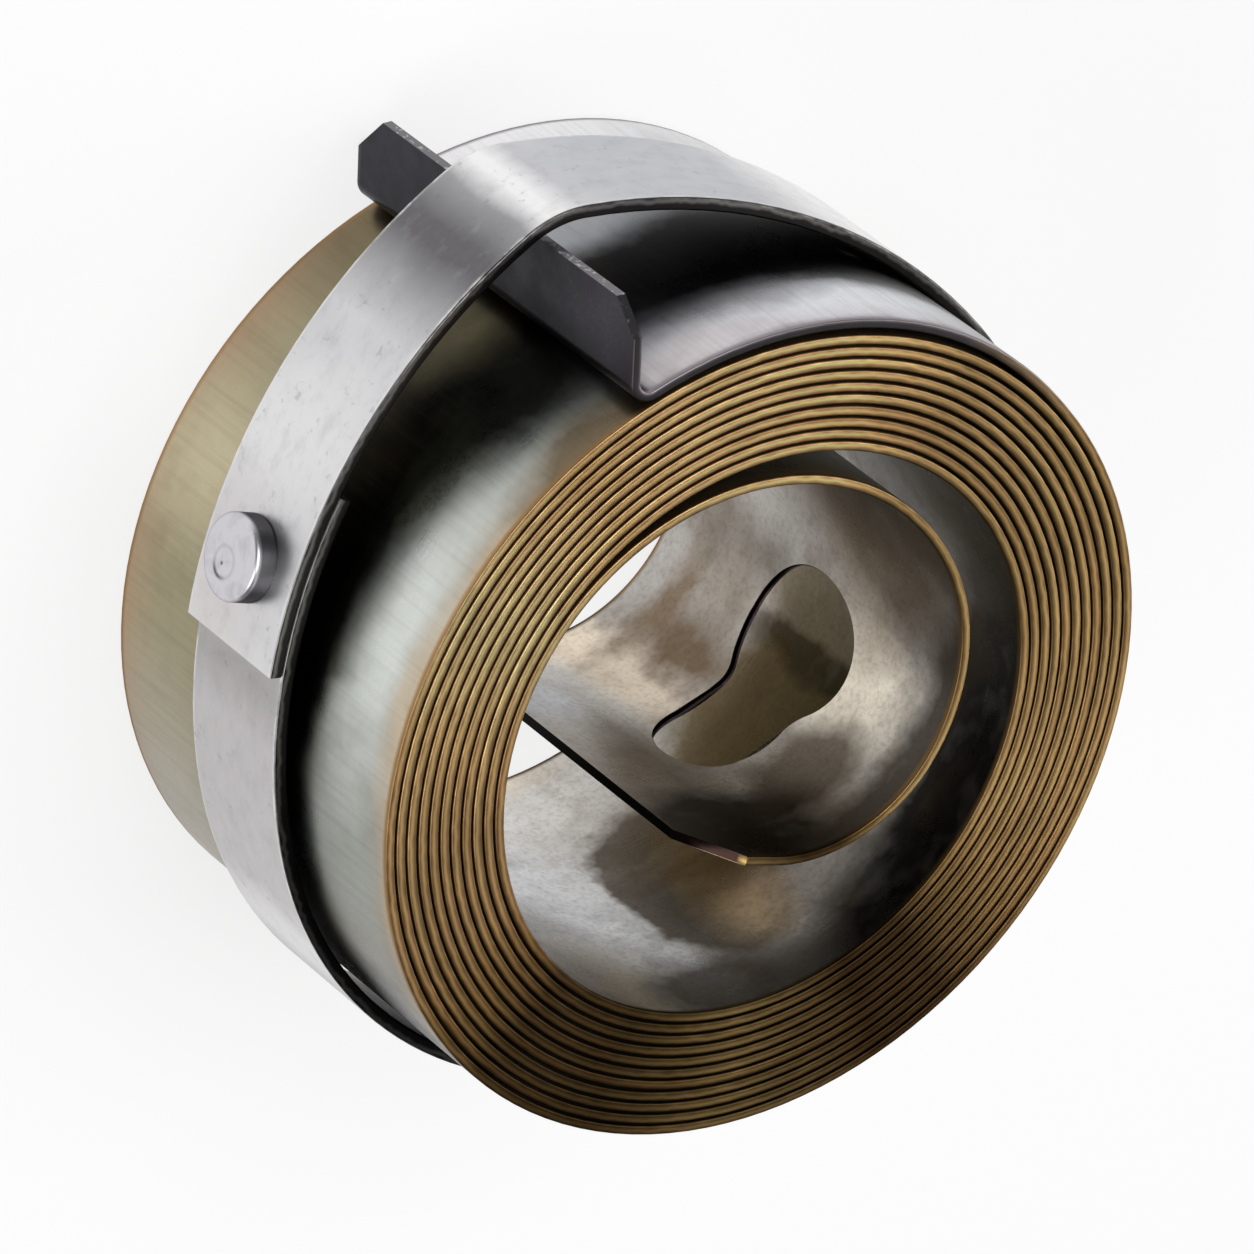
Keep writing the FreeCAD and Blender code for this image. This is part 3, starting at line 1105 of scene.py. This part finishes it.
@dataclass(frozen=True)
class StrapSteel:
    """Finish of the retaining band: light satin strapping with dark sheared edges that are partly painted
    shade, and painted highlights and reflection on its face.
    """

    sizes: BandSizes
    spring: SpringSizes
    light = srgb(224, 223, 224)
    grey = srgb(200, 200, 203)
    # Dark grey of the sheared faces: partly their own colour and partly painted shade.
    sheared = srgb(54, 52, 51)
    grazing = (0.95, 0.95, 0.95, 1.0)
    clouds = Pattern(60.0, 2.0, 0.5)
    flecks = Pattern(900.0, 2.0, 0.6)
    grain = Pattern(1.0, 2.0, 0.5, size=(90.0, 5000.0, 1.0))
    rubbing = Pattern(1.0, 3.0, 0.7, size=(330.0, 480.0, 1.0))
    tearing = Pattern(1.0, 2.0, 0.7, size=(340.0, 1.0, 1.0))
    scuffed = Wear(0.5, 0.75, 0.22, (140, 138, 140))
    rubbed = Wear(0.45, 0.25, 0.07, (250, 250, 250))
    flecked = Wear(0.64, 0.74, 0.25, (110, 108, 108))
    # Patches on the band. Some are tone. Others are painted light: the crest's highlight and the dark
    # reflection beside it, painted highlights at 48 and 197 mm from the inner end, and painted shade at 19 mm
    # by the lap.
    patches = laid(
        (30, 23, 34, 20, (192, 188, 189), 0.95, 0.2), (19, 23, 3, 20, (160, 156, 156), 0.8, 0.9),
        (48, 25, 4, 12, (234, 233, 235), 0.8, 0.6), (-64, 23, 13, 20, (194, 195, 200), 0.9),
        (-41, 23, 5.4, 40, (100, 98, 100), 0.96, 0.8), (-48.8, 23, 1.7, 40, (250, 249, 250), 0.95, 0.7),
        (-20, 23, 6, 12, (238, 237, 238), 0.6, 0.7), (-6, 20, 7, 5, (210, 199, 197), 0.5, 0.7),
        (197, 22, 9, 40, (255, 255, 255), 0.9, 0.6),
    )

    def material(self) -> bpy.types.Material:
        """Builds the material.

        Returns:
            The material.
        """
        graph = Finish("strap_steel")
        strip = Strip(graph, self.sizes.path(self.spring).length(), 1.6)
        cloud = graph.noise(strip.object, self.clouds)
        fleck = graph.noise(strip.object, self.flecks)
        grain = graph.noise(strip.flat, self.grain)
        rubbed = graph.noise(strip.flat, self.rubbing)
        face = graph.mix(cloud.step(0.3, 0.7), self.light, self.grey)
        face = strip.painted(face, self.patches)
        for pattern, wear in ((rubbed, self.scuffed), (rubbed, self.rubbed), (fleck, self.flecked)):
            face = graph.worn(face, pattern, wear)
        away = abs(strip.across - self.sizes.middle_height)
        half = self.sizes.width / 2.0
        # A light line along the face at both edges: a burr, partly a painted highlight.
        burr_and_edge_highlight = away.step(half - 0.5, half - 0.25) * strip.outward.step(0.0, 0.8) * rubbed.step(0.4, 0.6, 0.7)
        face = graph.mix(burr_and_edge_highlight, face, srgb(240, 239, 238))
        side = away.step(half - 0.12, half - 0.04)
        torn = graph.noise(strip.flat, self.tearing)
        # A lighter lip on the sheared faces: a painted highlight on the edge's corner.
        edge_lip_highlight = abs(strip.outward + (torn - 0.5) * 1.6 - 0.45).step(0.5, 0.0, 0.85)
        edge = graph.mix(edge_lip_highlight, self.sheared, srgb(148, 145, 142))
        colour = graph.mix(side, face, edge)
        colour = graph.mix(abs(strip.outward).step(*CUT_FACE) * (1.0 - side), colour, self.sheared)
        worn = (cloud - 0.5) * 0.06 + (rubbed - 0.5) * 0.12 + 0.34
        bump = graph.bump(0.06, 0.0001, grain + rubbed * 0.6)
        return graph.set(Base_Color=colour, Metallic=1.0, Roughness=worn, Normal=bump,
                         Specular_Tint=self.grazing)


@dataclass(frozen=True)
class RivetSteel:
    """Finish of the rivet: bright steel, marked by the setting tool.

    The tool leaves a ring and a dot off the head's centre. A crescent of painted shade lies in one side of the
    ring's groove, and the side of the head is darkened as painted shade.
    """

    face: Vector
    up: Vector
    across: Vector
    ring_place = (0.75, -0.5)
    ring_radius: float = 1.45
    ring_width: float = 0.3
    dot_place = (0.95, -0.75)
    light = srgb(216, 214, 219)
    grey = srgb(180, 178, 182)
    dark = srgb(96, 94, 96)
    grazing = (0.45, 0.45, 0.45, 1.0)
    groove_shade_shift = (1.3, -0.6)
    clouds = Pattern(420.0, 4.0, 0.6, 0.6)
    flecks = Pattern(2600.0, 2.0, 0.6)

    def away(self, graph: Graph, where: Signal, place: tuple[float, float]) -> Signal:
        """Distance in millimetres from a place on the head's face.

        Args:
            graph: the node tree.
            where: the coordinates.
            place: the place, across and up from the head's centre.

        Returns:
            The distance.
        """
        centre = (self.face + self.across * place[0] + self.up * place[1]) * MM
        offset = graph.add("VectorMath", {"operation": "SUBTRACT"}, {0: where, 1: tuple(centre)})
        return graph.add("VectorMath", {"operation": "LENGTH"}, {0: offset}, "Value") / MM

    def material(self) -> bpy.types.Material:
        """Builds the material.

        Returns:
            The material.
        """
        graph = Finish("rivet_steel")
        where = graph.add("TexCoord", {}, {}, "Object")
        cloud = graph.noise(where, self.clouds)
        fleck = graph.noise(where, self.flecks)
        ring = self.away(graph, where, self.ring_place)
        groove = abs(ring - self.ring_radius).step(self.ring_width, 0.0)
        # A crescent of painted shade in one side of the ring's groove.
        shade_centre = tuple(place + shift for place, shift in zip(self.ring_place, self.groove_shade_shift))
        groove_shade = groove * self.away(graph, where, shade_centre).step(1.5, 0.4)
        dot = self.away(graph, where, self.dot_place).step(0.25, 0.1)
        colour = graph.mix(cloud.step(0.45, 0.7, 0.7), self.light, self.grey)
        colour = graph.mix(groove_shade * 0.85 + dot * 0.85 + groove * 0.2, colour, self.dark)
        outward = self.across.cross(self.up)
        depth = graph.add("VectorMath", {"operation": "DOT_PRODUCT"},
                          {0: where, 1: tuple(outward)}, "Value") / MM
        top = self.face.dot(outward)
        # Painted shade: the side of the head, below its face, is darkened.
        colour = graph.mix((depth - top).step(-0.3, -0.7, 0.85), colour, srgb(60, 59, 61))
        height = (cloud - 0.5) * 0.10 + (fleck - 0.5) * 0.05 - groove * 0.5 - dot * 0.6
        bump = graph.bump(0.35, 0.00012, height)
        return graph.set(Base_Color=colour, Metallic=1.0, Roughness=(cloud - 0.5) * 0.1 + 0.4, Normal=bump,
                         Specular_Tint=self.grazing)


def finish_piece(name: str, made: bmesh.types.BMesh, finish: bpy.types.Material, node: str) -> bpy.types.Object:
    """Makes a finished piece that stands for a node of the frame.

    Args:
        name: the piece's name.
        made: its mesh, in millimetres.
        finish: its material.
        node: the node that it replaces.

    Returns:
        The object, which rides on the root body.
    """
    bmesh.ops.scale(made, vec=(MM, MM, MM), verts=made.verts[:])
    for face in made.faces:
        face.smooth = True
    for edge in made.edges:
        if len(edge.link_faces) == 2 and edge.calc_face_angle() > math.radians(SHARP_ANGLE):
            edge.smooth = False
    piece = mesh_object(name, made)
    piece.data.materials.append(finish)
    shading = piece.modifiers.new("shading", "WEIGHTED_NORMAL")
    shading.keep_sharp = True
    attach(piece, "root")
    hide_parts(node)
    piece.data.calc_loop_triangles()
    LOG.info("%s: %d triangles", name, len(piece.data.loop_triangles))
    return piece


@dataclass
class WoundStrip:
    """The spring itself."""

    sizes: SpringSizes
    degrees_per_step: float = 3.0
    longest_step: float = 3.0
    rim_break: float = 0.12

    def build(self) -> bpy.types.Object:
        """Draws, trims, punches and winds the strip.

        Returns:
            The finished piece.
        """
        sizes = self.sizes
        path = sizes.whole_path()
        blank = Blank(sizes.width, sizes.thickness, sizes.rolled_edge)
        blank.draw(path, self.degrees_per_step, self.longest_step)
        end = path.length()
        along, rise = sizes.curl_corner
        near, far = sizes.hook_near_corner, sizes.hook_far_corner
        blank.trim(Vector((0.0, 0.0, sizes.width - rise)), Vector((-rise, 0.0, along)))
        blank.trim(Vector((0.0, 0.0, rise)), Vector((-rise, 0.0, -along)))
        blank.trim(Vector((end, 0.0, sizes.width - near)), Vector((1.0, 0.0, 1.0)))
        blank.trim(Vector((end, 0.0, far)), Vector((1.0, 0.0, -1.0)))
        blank.punch(keyhole_punch(sizes, self.rim_break))
        wound = blank.wind(path)
        finish = TemperedSteel(sizes).material()
        return finish_piece("wound_strip", wound, finish, "spring_strip")


@dataclass
class HoopBand:
    """The band that holds the spring wound."""

    sizes: BandSizes
    spring: SpringSizes
    degrees_per_step: float = 2.5
    longest_step: float = 3.0

    def build(self) -> bpy.types.Object:
        """Draws and winds the band.

        Returns:
            The finished piece.
        """
        path = self.sizes.path(self.spring)
        base = self.sizes.middle_height - self.sizes.width / 2.0
        blank = Blank(self.sizes.width, self.sizes.thickness, self.sizes.sheared_edge, base)
        blank.draw(path, self.degrees_per_step, self.longest_step)
        wound = blank.wind(path)
        finish = StrapSteel(self.sizes, self.spring).material()
        return finish_piece("hoop_band", wound, finish, "retaining_band")


@dataclass
class LapRivet:
    """The rivet through the band's lap."""

    band: BandSizes
    spring: SpringSizes
    angle: float = 134.3
    head_radius: float = 4.0
    head_height: float = 2.2
    rounding: float = 0.4
    shank_radius: float = 2.0
    tail_radius: float = 3.0
    tail_height: float = 0.8
    tail_chamfer: float = 0.2
    tail_gap: float = 0.12
    rounding_steps: int = 5
    steps_round: int = 72

    def build(self) -> bpy.types.Object:
        """Turns the rivet about its own axis and sets it in the lap.

        Returns:
            The finished piece.
        """
        arcs = self.band.arcs(self.spring)
        left, inner = arcs[0][0], arcs[0][1]
        outward = plan(angle_from(left, inner, self.angle))
        outside = left + outward * (arcs[-1][1] + self.band.thickness)
        lap = (outside - left).length - inner
        mesh = bmesh.new()
        tail = -lap - self.tail_gap
        foot, cut, top = tail - self.tail_height, self.tail_chamfer, self.head_height
        profile = [
            (0.0, foot), (self.tail_radius - cut, foot), (self.tail_radius, foot + cut),
            (self.tail_radius, tail), (self.shank_radius, tail), (self.shank_radius, 0.0),
            (self.head_radius, 0.0),
        ]
        for step in range(self.rounding_steps + 1):
            swung = math.radians(90.0 * step / self.rounding_steps)
            profile.append((self.head_radius - self.rounding * (1.0 - math.cos(swung)),
                            top - self.rounding * (1.0 - math.sin(swung))))
        profile.append((0.0, top))
        verts = [bmesh.ops.create_vert(mesh, co=(radius, 0.0, height))["vert"][0]
                 for radius, height in profile]
        for low, high in zip(verts, verts[1:]):
            bmesh.ops.contextual_create(mesh, geom=[low, high])
        bmesh.ops.spin(mesh, geom=mesh.verts[:] + mesh.edges[:], cent=(0, 0, 0), axis=(0, 0, 1),
                       dvec=(0, 0, 0), angle=math.tau, steps=self.steps_round, use_merge=True,
                       use_duplicate=False)
        bmesh.ops.remove_doubles(mesh, verts=mesh.verts[:], dist=MERGE_DISTANCE)
        bmesh.ops.recalc_face_normals(mesh, faces=mesh.faces[:])
        across = WORLD_UP.cross(outward)
        turn = Matrix((across, WORLD_UP, outward)).transposed().to_4x4()
        middle = Vector((outside.x, outside.y, self.band.middle_height))
        bmesh.ops.transform(mesh, matrix=Matrix.Translation(middle) @ turn, verts=mesh.verts[:])
        finish = RivetSteel(middle + outward * top, WORLD_UP, across)
        return finish_piece("set_rivet", mesh, finish.material(), "lap_rivet")


@dataclass
class PhotoCamera:
    """Camera at the photograph's viewing angle."""

    azimuth: float = 114.72
    elevation: float = 46.37
    roll: float = 127.82
    distance: float = 1039.4
    aim: tuple[float, float] = (12.45, -9.25)
    lens: float = 326.6
    sensor: float = 36.0
    clip: tuple[float, float] = (0.05, 20.0)

    def build(self) -> bpy.types.Object:
        """Makes the camera and makes it the scene's own.

        Returns:
            The camera.
        """
        a, e, r = (math.radians(x) for x in (self.azimuth, self.elevation, self.roll))
        back = Vector((math.cos(e) * math.cos(a), math.cos(e) * math.sin(a), math.sin(e)))
        level = WORLD_UP.cross(back).normalized()
        above = back.cross(level)
        right = level * math.cos(r) + above * math.sin(r)
        up = above * math.cos(r) - level * math.sin(r)
        data = bpy.data.cameras.new("photo_camera")
        data.lens, data.sensor_width = self.lens, self.sensor
        data.clip_start, data.clip_end = self.clip
        camera = bpy.data.objects.new("photo_camera", data)
        camera.rotation_mode = "QUATERNION"
        camera.rotation_quaternion = Matrix((right, up, back)).transposed().to_quaternion()
        camera.location = (back * self.distance + right * self.aim[0] + up * self.aim[1]) * MM
        bpy.context.scene.collection.objects.link(camera)
        bpy.context.scene.camera = camera
        return camera


@dataclass
class Studio:
    """Pale floor, soft lamps and dim surroundings. Lengths are metres and powers are watts."""

    floor_size: float = 4.0
    paper = srgb(246, 246, 246)
    paper_glow: float = 0.78
    lamps: tuple[tuple[str, tuple[float, float, float], float, float], ...] = (
        ("overhead", (0.2, 0.5, 1.6), 1.4, 22.0),
        ("left_wall", (-1.5, 0.2, 0.9), 1.2, 14.0),
        ("right_wall", (1.2, -0.6, 0.8), 1.0, 8.0),
    )
    world_seen: float = 1.0
    world_light: float = 0.45

    def build(self) -> None:
        """Makes the floor, the lamps and the world."""
        self.floor()
        for name, place, size, power in self.lamps:
            self.lamp(name, place, size, power)
        self.world()

    def floor(self) -> None:
        """Makes the floor that the spring stands on."""
        mesh = bmesh.new()
        bmesh.ops.create_grid(mesh, x_segments=1, y_segments=1, size=self.floor_size / 2.0)
        floor = mesh_object("floor", mesh)
        graph = Finish("paper")
        graph.set(Base_Color=self.paper, Roughness=0.9)
        seen = graph.seen_plainly() * self.paper_glow
        white = graph.add("Emission", {}, {"Color": (1.0, 1.0, 1.0, 1.0), "Strength": 1.0})
        matt = Signal(graph, graph.shader.outputs[0])
        surface = graph.add("MixShader", {}, {0: seen, 1: matt, 2: white})
        graph.plug(graph.output.inputs["Surface"], surface)
        floor.data.materials.append(graph.material)

    def lamp(self, name: str, place: tuple[float, float, float], size: float, power: float) -> None:
        """Makes one soft square lamp that faces the spring.

        Args:
            name: the lamp's name.
            place: where it hangs.
            size: its side.
            power: its power.
        """
        data = bpy.data.lights.new(name, "AREA")
        data.energy, data.size = power, size
        lamp = bpy.data.objects.new(name, data)
        lamp.location = place
        lamp.rotation_mode = "QUATERNION"
        lamp.rotation_quaternion = (-Vector(place)).to_track_quat("-Z", "Y")
        bpy.context.scene.collection.objects.link(lamp)

    def world(self) -> None:
        """Makes the dark grey world, dimmer as a light than to the camera and in reflections."""
        world = bpy.data.worlds.new("studio")
        world.use_nodes = True
        bpy.context.scene.world = world
        graph = Graph(world.node_tree)
        strength = graph.seen_plainly() * (self.world_seen - self.world_light) + self.world_light
        graph.plug(graph.tree.nodes["Background"].inputs["Strength"], strength)


def main() -> None:
    """Builds the spring, the camera and the studio."""
    logging.basicConfig(level=logging.INFO, format="%(message)s")
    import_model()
    bpy.context.scene.view_settings.view_transform = "Standard"
    spring, band = SpringSizes(), BandSizes()
    pieces = [WoundStrip(spring), HoopBand(band, spring), LapRivet(band, spring)]
    for piece in pieces:
        LOG.info("built %s", piece.build().name)
    PhotoCamera().build()
    Studio().build()


if __name__ == "__main__":
    main()
